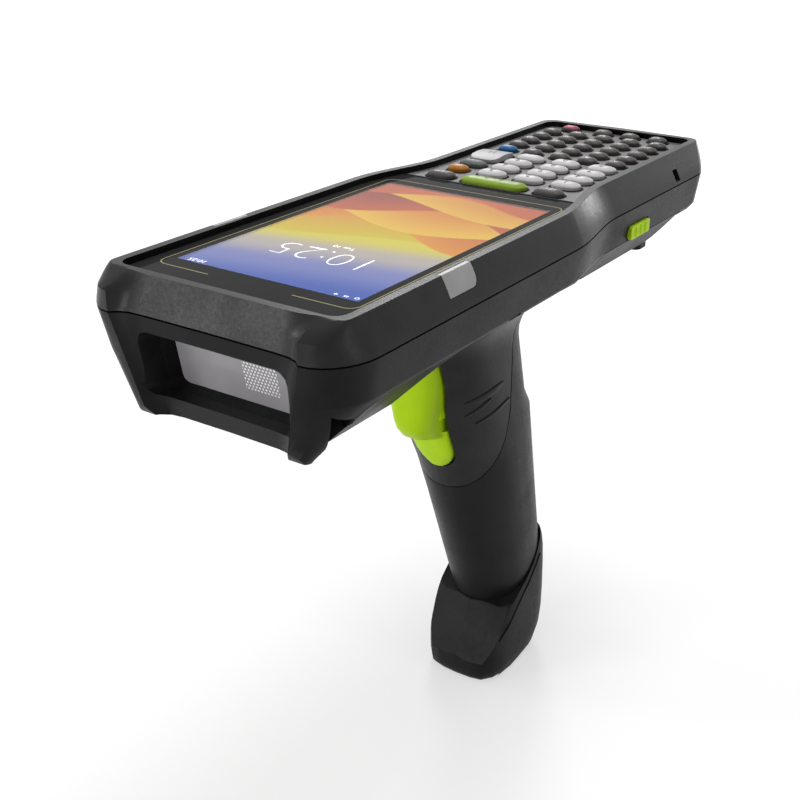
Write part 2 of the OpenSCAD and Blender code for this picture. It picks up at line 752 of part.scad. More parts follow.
// A latch: ribbed button, two arms past the lug and a bar that hooks behind it
module battery_latch(side) color(lime)
    mirror([side < 0 ? 1 : 0, 0, 0])
        translate([0, latch_y, height(latch_drop)]) {
            x_out = tail_half - wall_draft * 0.7 + button_out;
            x_in = lug_x + lug_t + latch_travel + run_gap;
            arm = (latch_l - lug_l) / 2 - 1.2;
            translate([x_in, 0, 0])
                rotate([90, 0, 90])
                    linear_extrude(x_out - x_in)
                        union() {
                            square([latch_l - 2, latch_h], center = true);
                            square([latch_l, latch_h - 2], center = true);
                            for (y = [-1, 1], z = [-1, 1])
                                translate([y * (latch_l / 2 - 1), z * (latch_h / 2 - 1)]) circle(1);
                        }
            for (y = [-1, 0, 1])
                translate([x_out, y * latch_l / 4, 0])
                    cylinder(r = 0.4, h = latch_h - 1, center = true);
            for (y = [-1, 1])
                translate([lug_x - 1.4, y * (lug_l / 2 + 0.5 + arm / 2) - arm / 2, -1])
                    cube([x_in - lug_x + 1.5, arm, 2]);
            translate([lug_x - 1.4, -lug_l / 2 - 0.6, -1])
                cube([1.4 + groove - 0.25, lug_l + 1.2, 2]);
        }

// ==== handle ====
y_grip = y_screen + grip_set;
tail_step = 3;
step_d = 32.6;
function grip_front(d) = y_grip + tan(front_lean) * d;
function grip_back(d) = y_grip + grip_depth + tan(back_lean) * d - tail_step * (1 - ease((d - step_d) / 5));
grip_taper = 0.043;
function grip_half(d) = grip_w / 2 - grip_taper * max(0, d - step_d);
// Saddle by which the handle spreads under the belly
flare_d = 13;
flare_w = 5;
flare_back = 7;
flare_front = 4;
function flare(d) = pow(1 - clamp(d / flare_d), 2);
// Handle section at a depth d under the belly: rounder in front as it goes down, fuller behind
function grip_ring(d, inset) = let (
        fy = grip_front(d) + inset - flare_front * flare(d),
        by = grip_back(d) - inset + flare_back * flare(d),
        w = grip_half(d) - inset + flare_w * flare(d),
        cy = (fy + by) / 2, ry = (by - fy) / 2, front_e = lerp(0.72, 1, clamp((d - 35) / 20))
    )
    [for (i = [0:35]) let (a = 10 * i, e = sin(a) < 0 ? front_e : 0.8)
        [w * power_of(cos(a), e), cy + ry * power_of(sin(a), e), belly_z - d]];
module grip_solid(depths, inset) {
    a = depths[len(depths) - 1];
    b = depths[0];
    loft([for (d = depths) grip_ring(d, inset)],
        [0, (grip_front(b) + grip_back(b)) / 2, belly_z - b],
        [0, (grip_front(a) + grip_back(a)) / 2, belly_z - a]);
}

shroud_d = 60.4;
shroud_back = 32.3;
shroud_rx = 15.6;
shroud_rz = 27.8;
// Side view of the shroud: down the handle's middle, then round to its front
module shroud_region(gap) {
    cy = y_grip + shroud_back - shroud_rx;
    cz = belly_z - shroud_d + shroud_rz;
    translate([-100, 0, 0])
        rotate([90, 0, 90])
            linear_extrude(200)
                polygon(concat(
                    [[y_grip - 30, belly_z + 5], [y_grip - 30, cz - shroud_rz - gap]],
                    arc(cy, cz, shroud_rx + gap, shroud_rz + gap, -90, 0, 9),
                    [[cy + shroud_rx + gap, belly_z + 5]]
                ));
}

hollow_d = 70;
module grip_hollow() {
    grip_solid([hollow_d, 55, 36, 20, 8], grip_wall);
}

butt_d = grip_h - butt_h;
grip_end = butt_d + 14;
tenon_wall = 1.6;
// Flat on the back of the handle's lower end, inside the butt's rear wall
module tenon_cut(gap) {
    translate([-grip_w, butt_front + butt_l - tenon_wall + gap, 0])
        cube([2 * grip_w, grip_depth, butt_h + 8]);
}
module handle_grip() color(dark)
    difference() {
        grip_solid([grip_end, 80, 66, 52, 43, 38, 35, 32, 26, 20, 13, 9, 6, 3, fit], 0);
        shroud_region(seam);
        grip_hollow();
        tenon_cut(0);
    }

trigger_gap = 0.45;
panel_w = 13;
trigger_split = 37.5;
trigger_end = 50.2;
slot_shoulder = 21;
slot_waist = 31.5;
// Opening in the shroud that the trigger comes out of
module trigger_slot() {
    half = trigger_w / 2 + trigger_gap;
    panel = panel_w / 2 + trigger_gap;
    translate([0, y_grip + 30, belly_z])
        rotate([90, 0, 0])
            linear_extrude(60)
                union() {
                    polygon([[-half, 5], [half, 5], [half, -slot_shoulder], [panel, -slot_waist],
                        [panel, -trigger_end + panel], [-panel, -trigger_end + panel],
                        [-panel, -slot_waist], [-half, -slot_shoulder]]);
                    translate([0, -trigger_end + panel - trigger_gap]) circle(panel);
                }
}

pin_d = 12.6;
pin_y = y_grip + 17.7;
pin_z = belly_z - pin_d;
boss_r = 3.4;
arm_half = 6.8;
module along_x(x, r, l) {
    translate([x, pin_y, pin_z]) rotate([0, 90, 0]) cylinder(r = r, h = l);
}
module shroud_boss(side) {
    mirror([side < 0 ? 1 : 0, 0, 0])
        along_x(arm_half + run_gap, boss_r, grip_w / 2 - arm_half - run_gap - 1.9);
}
module handle_shroud() color(body_grey)
    difference() {
        union() {
            difference() {
                intersection() {
                    grip_solid([62, 52, 43, 35, 26, 20, 13, 9, 6, 3, fit], 0);
                    shroud_region(0);
                }
                grip_hollow();
                trigger_slot();
            }
            shroud_boss(1);
            shroud_boss(-1);
        }
        along_x(-pin_half, pin_r + 0.02, 2 * pin_half);
    }

// ---- trigger ----
// Front of the lever ahead of the handle's front line, at depths under the belly
lever_d = [1.5, 8.6, 13, 18, 23, 27, 30.5, 33.5, 36, trigger_split];
lever_out = [2.4, 3, 3.8, 5, 6.6, 8.2, 9.4, 9.6, 8.4, 4.6];
lever_in = [1.2, 0.5, 0.2, 0.3, 0.8, 1.5, 2.3, 2.8, 2.9, 2.8];
lever_back = 9;
function trigger_ring(nose, half, bow, back, d) = concat(
    [for (i = [0:12]) let (a = 180 + 15 * i)
        [half * power_of(cos(a), 0.75), nose + bow + bow * power_of(sin(a), 0.9), belly_z - d]],
    [[half, back, belly_z - d], [-half, back, belly_z - d]]
);
panel_steps = [1, 0.92, 0.8, 0.62, 0.4, 0.15, -0.15];
panel_out = 1.2;
module trigger() color(lime)
    difference() {
        union() {
            root = y_grip + lever_back;
            last = len(lever_d) - 1;
            loft([for (i = [last:-1:0])
                    let (d = lever_d[i], back = max(root, grip_front(d) + 4.5))
                    trigger_ring(grip_front(d) - lever_out[i], trigger_w / 2 - lever_in[i], 5, back + 2, d)],
                [0, grip_front(trigger_split) + 3, belly_z - trigger_split],
                [0, root, belly_z - lever_d[0]]);
            // Lower panel, nearly flush with the shroud
            loft([for (t = panel_steps)
                    let (d = lerp(trigger_split, trigger_end, t), s = clamp((t - 0.35) / 0.68))
                    trigger_ring(grip_front(d) - panel_out + 0.8 * s, panel_w / 2 * sqrt(1 - 0.96 * s * s),
                        1.6, grip_front(d) + 3.6, d)],
                [0, grip_front(trigger_end) + 2, belly_z - trigger_end],
                [0, grip_front(trigger_split) + 2, belly_z - trigger_split + 0.15 * (trigger_end - trigger_split)]);
            // Arm back to the pin
            translate([-arm_half, 0, 0])
                rotate([90, 0, 90])
                    linear_extrude(2 * arm_half)
                        union() {
                            translate([pin_y, pin_z]) circle(boss_r);
                            polygon([[pin_y, pin_z + boss_r], [root + 1, pin_z + boss_r],
                                [root + 1, pin_z - 18], [root + 5, pin_z - 18], [pin_y + 2.6, pin_z - 2]]);
                        }
        }
        along_x(-30, pin_r + pin_gap, 60);
        // Slot for the spring's coil
        along_x(-coil_half, boss_r + 1, 2 * coil_half);
    }

pin_half = 12.4;
module trigger_pin() color([0.75, 0.75, 0.76])
    along_x(-pin_half, pin_r, 2 * pin_half);

wire_r = 0.35;
coil_turns = 6;
coil_half = 3.4;
module trigger_spring() color([0.7, 0.7, 0.72])
    translate([0, pin_y, pin_z])
        rotate([0, 90, 0])
            for (i = [0:coil_turns - 1])
                translate([0, 0, (i - (coil_turns - 1) / 2) * 2.8 * wire_r])
                    rotate_extrude()
                        translate([pin_r + 0.4 + wire_r, 0]) circle(wire_r, $fn = 16);

switch_d = 30;
switch_set = 22.4;
switch_y = y_grip + switch_set;
switch_w = 8;
switch_t = 4;
switch_l = 9;
button_l = 1.2;
carrier_w = 24;
carrier_l = 23;
module trigger_switch() color([0.15, 0.15, 0.16]) {
    translate([-switch_w / 2, switch_y, belly_z - switch_d - 4]) cube([switch_w, switch_t, switch_l]);
    translate([0, switch_y + 0.1, belly_z - switch_d]) rotate([90, 0, 0]) cylinder(r = 1.5, h = button_l);
    color([0.1, 0.35, 0.2])
        translate([-carrier_w / 2, switch_y + switch_t, belly_z - switch_d - 9])
            cube([carrier_w, 1.6, carrier_l]);
}

// ---- butt ----
butt_wall = 0.65;
butt_half = grip_half(butt_d) + butt_wall;
butt_lead = 4.96;
butt_tail = 2.6;
butt_front = grip_front(butt_d) - butt_lead;
butt_l = grip_back(butt_d) + butt_tail - butt_front;
butt_s = [0, 0.02, 0.08, 0.18, 0.32, 0.5, 0.68, 0.84, 0.94, 1];
butt_low = [1, 0.55, 0.2, 0.05, 0, 0, 0, 0, 0, 0];
butt_in = [0, 0, 0, 0, 0, 0, 0.3, 0.8, 1.6, 2.4];
// Height of the butt's upper edge: higher behind than in front
function butt_top(y) = let (t = max(0, min(28, y - butt_front - 5.4))) butt_h - 12.7 + 0.33 * t + 0.0145 * t * t;
// Butt section: flat front facet, upright sides and a full round back
function butt_outline(low, inset) = let (
        fy = butt_front + 2.4 * low + 1.3 * inset, by = butt_front + butt_l - 17 * low - 1.4 * inset,
        half = butt_half - 2.4 * low - 0.06 * inset, mid = by - 18
    )
    both_sides(concat(
        [[0, fy], [0.4 * half, fy + 0.3], [0.68 * half, fy + 1.2]],
        [[0.87 * half, fy + 4.6], [0.97 * half, fy + 10]],
        [for (i = [0:9]) let (a = 10 * i) [half * power_of(cos(a), 0.75), mid + 18 * power_of(sin(a), 0.75)]]
    ));
module butt_solid() {
    middle = butt_front + butt_l / 2;
    loft([for (i = [0:len(butt_s) - 1])
            [for (q = butt_outline(butt_low[i], butt_in[i])) [q[0], q[1], butt_s[i] * butt_top(q[1])]]],
        [0, middle, 0], [0, middle, butt_top(middle)]);
}
module handle_boot() color([0.05, 0.05, 0.055])
    difference() {
        butt_solid();
        difference() {
            grip_solid([grip_end + fit, 80, 66], -fit);
            tenon_cut(fit);
        }
    }

// ==== assembly ====

front_housing();
rear_housing();
housing_seal();
cover_glass();
display_panel();
mid_frame();
main_board();
led_pipe(1);  // led_pipe_left
led_pipe(-1);  // led_pipe_right
window_bezel();
scan_window();
scan_engine();
scan_lens();
aim_diffuser();
keypad_plate();
keypad_mat();
keypad_board();
battery_pack();
battery_contacts();
battery_feet();
battery_latch(1);  // battery_latch_left
battery_latch(-1);  // battery_latch_right
handle_grip();
handle_shroud();
handle_boot();
trigger();
trigger_pin();
trigger_spring();
trigger_switch();
color(lime) key(scan_bar);  // scan_key
color([0.2, 0.18, 0.18]) key(left_function);  // left_function_key
color([0.2, 0.18, 0.18]) key(right_function);  // right_function_key
color([0.85, 0.5, 0.1]) key(orange);  // orange_key
color([0.3, 0.32, 0.3]) key(shift);  // shift_key
color([0.8, 0.8, 0.8]) key(enter);  // enter_key
color([0.1, 0.4, 0.75]) key(blue);  // blue_key
color([0.7, 0.1, 0.2]) key(power);  // power_key
for (i = [1:3 * number_rows])
    color([0.8, 0.8, 0.8]) key(number_at(i - 1));
for (i = [1:letter_rows])
    color([0.2, 0.18, 0.18])
            for (spot = row_keys(i - 1)) key(spot);
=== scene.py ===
import bpy
import json
import math
from mathutils import Matrix, Vector

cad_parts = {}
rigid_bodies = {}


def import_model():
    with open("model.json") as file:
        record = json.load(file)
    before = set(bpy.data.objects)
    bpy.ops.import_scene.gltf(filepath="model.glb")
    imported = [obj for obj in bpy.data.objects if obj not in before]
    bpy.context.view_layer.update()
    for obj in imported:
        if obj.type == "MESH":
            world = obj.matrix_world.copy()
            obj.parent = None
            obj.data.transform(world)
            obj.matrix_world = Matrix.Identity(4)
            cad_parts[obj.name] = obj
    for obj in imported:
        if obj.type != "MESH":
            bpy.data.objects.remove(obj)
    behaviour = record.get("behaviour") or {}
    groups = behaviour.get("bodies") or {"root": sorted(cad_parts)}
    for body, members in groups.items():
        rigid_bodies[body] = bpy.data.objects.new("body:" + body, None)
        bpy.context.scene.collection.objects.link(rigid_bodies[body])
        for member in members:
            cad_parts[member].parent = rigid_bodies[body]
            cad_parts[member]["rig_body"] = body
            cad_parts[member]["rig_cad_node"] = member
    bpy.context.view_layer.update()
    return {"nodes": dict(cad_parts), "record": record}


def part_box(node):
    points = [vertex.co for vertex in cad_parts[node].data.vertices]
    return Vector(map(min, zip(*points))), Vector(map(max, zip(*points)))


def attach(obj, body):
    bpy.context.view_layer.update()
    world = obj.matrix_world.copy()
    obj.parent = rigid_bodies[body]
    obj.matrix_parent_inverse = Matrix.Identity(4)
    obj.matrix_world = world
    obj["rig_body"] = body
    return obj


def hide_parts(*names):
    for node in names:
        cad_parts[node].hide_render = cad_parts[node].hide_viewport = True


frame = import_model()
cadNodes = frame["nodes"]
bodyOf = {n: b for b, members in frame["record"]["behaviour"]["bodies"].items() for n in members}
slotOf = {s["node"]: s["material_slot"] for s in frame["record"]["subparts"]}
mm = 0.001  # lengths in the dictionaries below are in millimetres, apart from those of the stage
mergeWithin = 0.002 * mm
cutSnap = 0.001 * mm
screenMargin = {"ends": 2, "sides": 1.2}
panelLow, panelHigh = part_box("display_panel")
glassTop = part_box("cover_glass")[1].z
screenFront = panelLow.y + screenMargin["ends"] * mm
screenBack = panelHigh.y - screenMargin["ends"] * mm
screenHalf = panelHigh.x - screenMargin["sides"] * mm
screenMiddle = (screenFront + screenBack) / 2
print("frame loaded:", len(cadNodes), "nodes")


# selecting, copying and common modifiers
def deselectAll():
    bpy.ops.object.select_all(action="DESELECT")


def selectOnly(*pieces):
    deselectAll()
    for piece in pieces:
        piece.select_set(True)
    bpy.context.view_layer.objects.active = pieces[0]


def applyPlace(piece):
    selectOnly(piece)
    bpy.ops.object.transform_apply(location=True, rotation=True, scale=True)


def applyModifiers(piece):
    selectOnly(piece)
    for modifier in list(piece.modifiers):
        bpy.ops.object.modifier_apply(modifier=modifier.name)


def camelName(nodeName, ending):
    first, *rest = nodeName.split("_")
    return first + "".join(word.capitalize() for word in rest) + ending


def copyOf(*nodeNames):
    # CAD nodes copied into one free object
    selectOnly(*[cadNodes[nodeName] for nodeName in nodeNames])
    bpy.ops.object.duplicate()
    bpy.ops.object.parent_clear(type="CLEAR_KEEP_TRANSFORM")
    if len(nodeNames) > 1:
        bpy.ops.object.join()
    copy = bpy.context.active_object
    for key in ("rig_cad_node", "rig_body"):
        if key in copy:
            del copy[key]
    return copy


def openMesh(piece):
    selectOnly(piece)
    bpy.ops.object.mode_set(mode="EDIT")
    bpy.ops.mesh.select_all(action="SELECT")


def openMarkedFaces(piece):
    # edit mode with only the faces selected that were marked before
    selectOnly(piece)
    bpy.context.tool_settings.mesh_select_mode = (False, False, True)
    bpy.ops.object.mode_set(mode="EDIT")


def closeMesh():
    bpy.ops.object.mode_set(mode="OBJECT")


def cutThrough(place, direction, **clearing):
    bpy.ops.mesh.select_all(action="SELECT")
    bpy.ops.mesh.bisect(plane_co=place, plane_no=direction, threshold=cutSnap, **clearing)


def soften(piece, width, angle=30, segments=2, miter="MITER_SHARP"):
    bevel = piece.modifiers.new("softEdge", "BEVEL")
    bevel.width = width * mm
    bevel.segments = segments
    bevel.limit_method = "ANGLE"
    bevel.angle_limit = math.radians(angle)
    bevel.miter_outer = miter


def thicken(piece, thickness, offset, even=False):
    wall = piece.modifiers.new("thickness", "SOLIDIFY")
    wall.thickness = thickness * mm
    wall.offset = offset
    wall.use_even_offset = even


def layOnto(piece, target, axis, towards):
    # drops every corner along one axis onto another piece
    wrap = piece.modifiers.new("ontoSurface", "SHRINKWRAP")
    wrap.target = target
    wrap.wrap_method = "PROJECT"
    setattr(wrap, "use_project_" + axis, True)
    wrap.use_positive_direction = towards > 0
    wrap.use_negative_direction = towards < 0
    return wrap


def shadeSmooth(angle):
    bpy.ops.object.shade_smooth_by_angle(angle=math.radians(angle))


skinMerge = 0.6  # flatter joints than this many degrees are one face
quarteredSkins = {"front_housing", "left_function_key"}  # ring-shaped undersides, split in four


def finishedSkin(nodeName, skinName, edgeWidth, edgeAngle, smoothAngle, segments=2, shape=None):
    # a copy of a CAD node, merged into one surface and given soft edges
    skin = copyOf(nodeName)
    skin.name = skinName
    openMesh(skin)
    bpy.ops.mesh.remove_doubles(threshold=mergeWithin)
    bpy.ops.mesh.dissolve_limited(angle_limit=math.radians(skinMerge))
    if nodeName in quarteredSkins:
        low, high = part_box(nodeName)
        for across in ((1, 0, 0), (0, 1, 0)):
            cutThrough((low + high) / 2, across)
    closeMesh()
    if shape:
        shape(skin)
    soften(skin, edgeWidth, edgeAngle, segments, "MITER_ARC")
    applyModifiers(skin)
    shadeSmooth(smoothAngle)
    even = skin.modifiers.new("evenShading", "WEIGHTED_NORMAL")  # big faces keep their own direction
    even.keep_sharp = True
    applyModifiers(skin)
    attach(skin, bodyOf[nodeName])
    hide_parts(nodeName)


# building materials
class Shader:
    # a principled material and short names for adding nodes to it
    def __init__(self, name, color, roughness, **constants):
        self.material = bpy.data.materials.new(name)
        self.material.use_nodes = True
        self.tree = self.material.node_tree
        self.bsdf = self.tree.nodes["Principled BSDF"]
        self.bsdf.inputs["Base Color"].default_value = (*color, 1)
        self.bsdf.inputs["Roughness"].default_value = roughness
        for socket, value in constants.items():
            self.bsdf.inputs[socket.replace("_", " ")].default_value = value
        self.place = self.add("ShaderNodeTexCoord").outputs["Object"]

    def add(self, kind, **settings):
        node = self.tree.nodes.new(kind)
        for key, value in settings.items():
            setattr(node, key, value)
        return node

    def join(self, source, target):
        if hasattr(source, "is_linked"):
            self.tree.links.new(source, target)
        else:
            target.default_value = source

    def math(self, operation, a, b=0.0):
        node = self.add("ShaderNodeMath", operation=operation)
        for value, target in zip((a, b), node.inputs):
            self.join(value, target)
        return node.outputs[0]

    def times(self, a, b):
        return self.math("MULTIPLY", a, b)

    def plus(self, a, b):
        return self.math("ADD", a, b)

    def minus(self, a, b):
        return self.math("SUBTRACT", a, b)

    def absolute(self, value):
        return self.math("ABSOLUTE", value)

    def below(self, value, limit):
        return self.math("LESS_THAN", value, limit)

    def above(self, value, limit):
        return self.math("GREATER_THAN", value, limit)

    def distance(self, a, b):
        return self.math("SQRT", self.plus(self.times(a, a), self.times(b, b)))

    def axes(self, names):
        split = self.add("ShaderNodeSeparateXYZ")
        self.join(self.place, split.inputs[0])
        return [split.outputs[name] for name in names]

    def noise(self, size, detail=2.0, rough=0.5):
        node = self.add("ShaderNodeTexNoise")
        node.inputs["Scale"].default_value = 1 / (size * mm)
        node.inputs["Detail"].default_value = detail
        node.inputs["Roughness"].default_value = rough
        self.join(self.place, node.inputs["Vector"])
        return node.outputs["Fac"]

    def spread(self, value, low, high, outLow, outHigh):
        node = self.add("ShaderNodeMapRange")
        for source, target in zip((value, low, high, outLow, outHigh), node.inputs):
            self.join(source, target)
        return node.outputs[0]

    def patches(self, size, detail, outLow, outHigh, low=0.3, high=0.7):
        # soft noise stretched between two values
        return self.spread(self.noise(size, detail), low, high, outLow, outHigh)

    def mix(self, factor, a, b):
        node = self.add("ShaderNodeMix", data_type="RGBA")
        self.join(factor, node.inputs["Factor"])
        self.join((*a, 1) if isinstance(a, tuple) else a, node.inputs["A"])
        self.join((*b, 1) if isinstance(b, tuple) else b, node.inputs["B"])
        return node.outputs["Result"]

    def color(self, source):
        self.join(source, self.bsdf.inputs["Base Color"])

    def rough(self, source):
        self.join(source, self.bsdf.inputs["Roughness"])

    def bump(self, height, depth):
        node = self.add("ShaderNodeBump")
        node.inputs["Strength"].default_value = 1.0
        node.inputs["Distance"].default_value = depth * mm
        self.join(height, node.inputs["Height"])
        self.join(node.outputs[0], self.bsdf.inputs["Normal"])


plastics = {
    # colour, roughness, size and depth of the grain in millimetres, colour drift, reflection
    "satinUpperShell": ((0.017, 0.017, 0.017), 0.34, 0.5, 0.012, 0.18, 0.13),
    "satinLowerShell": ((0.0085, 0.0085, 0.0088), 0.38, 0.5, 0.012, 0.18, 0.10),
    "batteryCase": ((0.011, 0.011, 0.0114), 0.44, 0.5, 0.012, 0.18, 0.10),
    "softRubber": ((0.009, 0.009, 0.0093), 0.44, 0.8, 0.02, 0.18, 0.10),
    "blackPlastic": ((0.008, 0.008, 0.0085), 0.5, 0.4, 0.012, 0.18, 0.10),
    "keypadPlate": ((0.150, 0.146, 0.147), 0.46, 0.35, 0.008, 0.18, 0.12),
    "limePlastic": ((0.42, 0.66, 0.008), 0.36, 0.4, 0.004, 0.05, 0.12),
    # painted light: the latches are the trigger's lime made lighter
    "limeLatch": ((0.58, 0.88, 0.012), 0.36, 0.4, 0.004, 0.05, 0.12),
    # painted shade: the scan key is the trigger's lime at half the brightness, against the strong light on
    # its top
    "limeScanKey": ((0.21, 0.33, 0.02), 0.36, 0.3, 0.004, 0.05, 0.15),
    "lightKeyCap": ((0.58, 0.565, 0.575), 0.42, 0.3, 0.004, 0.04, 0.15),
    "lightEnterKey": ((0.37, 0.36, 0.37), 0.42, 0.3, 0.004, 0.04, 0.15),
    "greyKeyCap": ((0.125, 0.135, 0.128), 0.42, 0.3, 0.005, 0.08, 0.15),
    "orangeKeyCap": ((0.40, 0.155, 0.012), 0.38, 0.3, 0.004, 0.05, 0.15),
    "blueKeyCap": ((0.010, 0.105, 0.27), 0.38, 0.3, 0.004, 0.05, 0.15),
    "redKeyCap": ((0.42, 0.025, 0.075), 0.38, 0.3, 0.004, 0.05, 0.15),
    "darkKeyCap": ((0.072, 0.062, 0.063), 0.40, 0.3, 0.005, 0.08, 0.18),
    "frostedLightPipe": ((0.33, 0.325, 0.33), 0.38, 0.25, 0.006, 0.06, 0.5),
    # painted shade: near black for the well's inner wall, where shadow falls
    "blackInnerWall": ((0.0035, 0.0035, 0.0037), 0.30, 0.5, 0.004, 0.18, 0.10),
    "sealingBead": ((0.004, 0.004, 0.004), 0.55, 0.4, 0.004, 0.18, 0.08),
    "jointShadowBlack": ((0.004, 0.004, 0.004), 0.6, 0.3, 0.003, 0.18, 0.05),
    "darkInk": ((0.012, 0.012, 0.014), 0.5, 0.3, 0.002, 0.18, 0.10),
    "paleInk": ((0.62, 0.62, 0.62), 0.5, 0.3, 0.002, 0.18, 0.10),
}
moulding = {
    "driftPatch": 9, "driftRange": (0.35, 0.65), "glossPatch": 14, "glossSwing": 0.05, "fineGrains": 1.7,
}


def mouldedPlastic(name):
    # spark-textured moulding: fine grain, broad gloss changes and a little colour drift
    color, roughness, grain, depth, drift, reflection = plastics[name]
    shade = Shader(name, color, roughness, Specular_IOR_Level=reflection)
    darker = tuple(c * (1 - drift) for c in color)
    lighter = tuple(min(1, c * (1 + drift)) for c in color)
    drifting = shade.patches(moulding["driftPatch"], 3, 0, 1, *moulding["driftRange"])
    shade.color(shade.mix(drifting, darker, lighter))
    swing = moulding["glossSwing"]
    broad = shade.patches(moulding["glossPatch"], 2, roughness - swing, roughness + swing)
    fine = shade.patches(grain * moulding["fineGrains"], 2, -swing, swing)
    shade.rough(shade.plus(broad, fine))
    shade.bump(shade.noise(grain, 3, 0.6), depth)
    return shade


redTop = {"deep": 0.55, "patch": 6, "colors": ((0.36, 0.02, 0.06), (0.48, 0.03, 0.09))}


def powerKeyCap():
    # the red top is a separate moulding let into a dark key
    shade = mouldedPlastic("redKeyCap")
    onTop = shade.above(shade.axes("Z")[0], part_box("power_key")[1].z - redTop["deep"] * mm)
    red = shade.mix(shade.noise(redTop["patch"], 2), *redTop["colors"])
    shade.color(shade.mix(onTop, plastics["darkKeyCap"][0], red))
    return shade.material


pipeScatter = {"share": 0.25, "depth": 1.5}


def lightPipe():
    # frosted clear plastic over a dark lamp
    shade = mouldedPlastic("frostedLightPipe")
    shade.bsdf.inputs["Subsurface Weight"].default_value = pipeScatter["share"]
    shade.bsdf.inputs["Subsurface Scale"].default_value = pipeScatter["depth"] * mm
    return shade.material


metals = {
    # colour, roughness, size of the grain in millimetres
    "castFrame": ((0.55, 0.55, 0.57), 0.45, 0.4),
    "plainSteel": ((0.60, 0.60, 0.62), 0.28, 0.2),
    "goldContacts": ((0.78, 0.58, 0.26), 0.25, 0.2),
}
metalLook = {"stainPatch": 6, "stain": 0.8, "glossPatch": 2.5, "glossSwing": 0.08, "depth": 0.01}


def castMetal(name):
    color, roughness, grain = metals[name]
    shade = Shader(name, color, roughness, Metallic=1.0)
    stained = tuple(c * metalLook["stain"] for c in color)
    shade.color(shade.mix(shade.noise(metalLook["stainPatch"], 3), stained, color))
    swing = metalLook["glossSwing"]
    shade.rough(shade.patches(metalLook["glossPatch"], 3, roughness - swing, roughness + swing))
    shade.bump(shade.noise(grain, 3), metalLook["depth"])
    return shade.material


boardLook = {
    "mask": (0.02, 0.12, 0.05), "track": (0.04, 0.22, 0.09), "roughness": 0.35, "grain": 0.8, "depth": 0.01,
    # tracks in a metre and the share of bare board between them, then the size of a group of tracks
    "across": (700.0, 0.72), "along": (430.0, 0.78), "patch": 5,
}


def circuitBoard():
    # solder mask with tracks of a lighter green
    shade = Shader("circuitBoard", boardLook["mask"], boardLook["roughness"])
    x, y = shade.axes("XY")
    lines = [shade.above(shade.math("FRACT", shade.times(place, perMetre)), bare)
        for place, (perMetre, bare) in ((x, boardLook["across"]), (y, boardLook["along"]))]
    patch = shade.above(shade.noise(boardLook["patch"], 1), 0.5)
    tracks = shade.times(shade.math("MAXIMUM", *lines), patch)
    shade.color(shade.mix(tracks, boardLook["mask"], boardLook["track"]))
    shade.bump(shade.noise(boardLook["grain"], 2), boardLook["depth"])
    return shade.material


lensLook = {
    "glass": (0.05, 0.06, 0.13), "roughness": 0.05, "coatRoughness": 0.03,
    "patch": 3, "tints": ((0.03, 0.04, 0.10), (0.09, 0.07, 0.20)),
}


def coatedLens():
    shade = Shader("coatedLens", lensLook["glass"], lensLook["roughness"],
        Coat_Weight=1.0, Coat_Roughness=lensLook["coatRoughness"])
    shade.color(shade.mix(shade.noise(lensLook["patch"], 1), *lensLook["tints"]))
    return shade.material


wallpaper = {
    # hills from the keypad end up: where they start, swing, waves, phase, near and far colour
    "hills": [
        (-0.12, 0.13, 1.8, 0.5, (0.58, 0.46, 0.02), (0.60, 0.30, 0.03)),
        (0.08, 0.17, 2.4, 2.3, (0.66, 0.27, 0.03), (0.50, 0.13, 0.025)),
        (0.28, 0.15, 2.0, 4.4, (0.72, 0.46, 0.05), (0.62, 0.23, 0.03)),
        (0.48, 0.16, 2.7, 0.9, (0.48, 0.10, 0.03), (0.28, 0.05, 0.03)),
        (0.68, 0.14, 1.7, 3.4, (0.70, 0.42, 0.05), (0.56, 0.18, 0.03)),
        (0.86, 0.10, 2.9, 1.6, (0.50, 0.11, 0.03), (0.34, 0.07, 0.03)),
    ],
    # places up the sky, from -1 at the keypad end to 1, and their colours
    "sky": [(-1.0, (0.035, 0.09, 0.40)), (-0.66, (0.17, 0.20, 0.46)), (-0.38, (0.42, 0.38, 0.36)),
        (-0.12, (0.60, 0.53, 0.06))],
    "skyTilt": -0.12, "hillFade": 0.42, "hillEdge": 0.004,
    "plain": (0.5, 0.4, 0.3), "roughness": 0.35, "unlit": 0.08, "glow": 1.0,
}


def litScreen():
    # soft layered hills under an evening sky, lit from behind
    shade = Shader("litScreen", wallpaper["plain"], wallpaper["roughness"])
    x, y = shade.axes("XY")
    across = shade.math("DIVIDE", x, screenHalf)
    along = shade.math("DIVIDE", shade.minus(y, screenMiddle), (screenBack - screenFront) / 2)
    ramp = shade.add("ShaderNodeValToRGB")
    ramp.color_ramp.interpolation = "EASE"
    stops = wallpaper["sky"]
    for i, (at, color) in enumerate(stops):
        spot = ramp.color_ramp.elements[0] if i == 0 else ramp.color_ramp.elements.new((at + 1) / 2)
        spot.position = (at + 1) / 2
        spot.color = (*color, 1)
    ramp.color_ramp.elements[len(stops)].color = (*stops[-1][1], 1)
    tilt = shade.plus(along, shade.times(across, wallpaper["skyTilt"]))
    shade.join(shade.spread(tilt, -1.0, 1.0, 0.0, 1.0), ramp.inputs[0])
    picture = ramp.outputs[0]
    for start, swing, waves, phase, crest, foot in wallpaper["hills"]:
        wave = shade.times(shade.math("SINE", shade.plus(shade.times(across, waves), phase)), swing)
        over = shade.minus(along, shade.plus(wave, start))
        ground = shade.mix(shade.spread(over, 0.0, wallpaper["hillFade"], 0.0, 1.0), crest, foot)
        edge = shade.spread(over, -wallpaper["hillEdge"], wallpaper["hillEdge"], 0.0, 1.0)
        picture = shade.mix(edge, picture, ground)
    shade.color(shade.mix(wallpaper["unlit"], (0.0, 0.0, 0.0), picture))
    shade.join(picture, shade.bsdf.inputs["Emission Color"])
    shade.bsdf.inputs["Emission Strength"].default_value = wallpaper["glow"]
    return shade.material


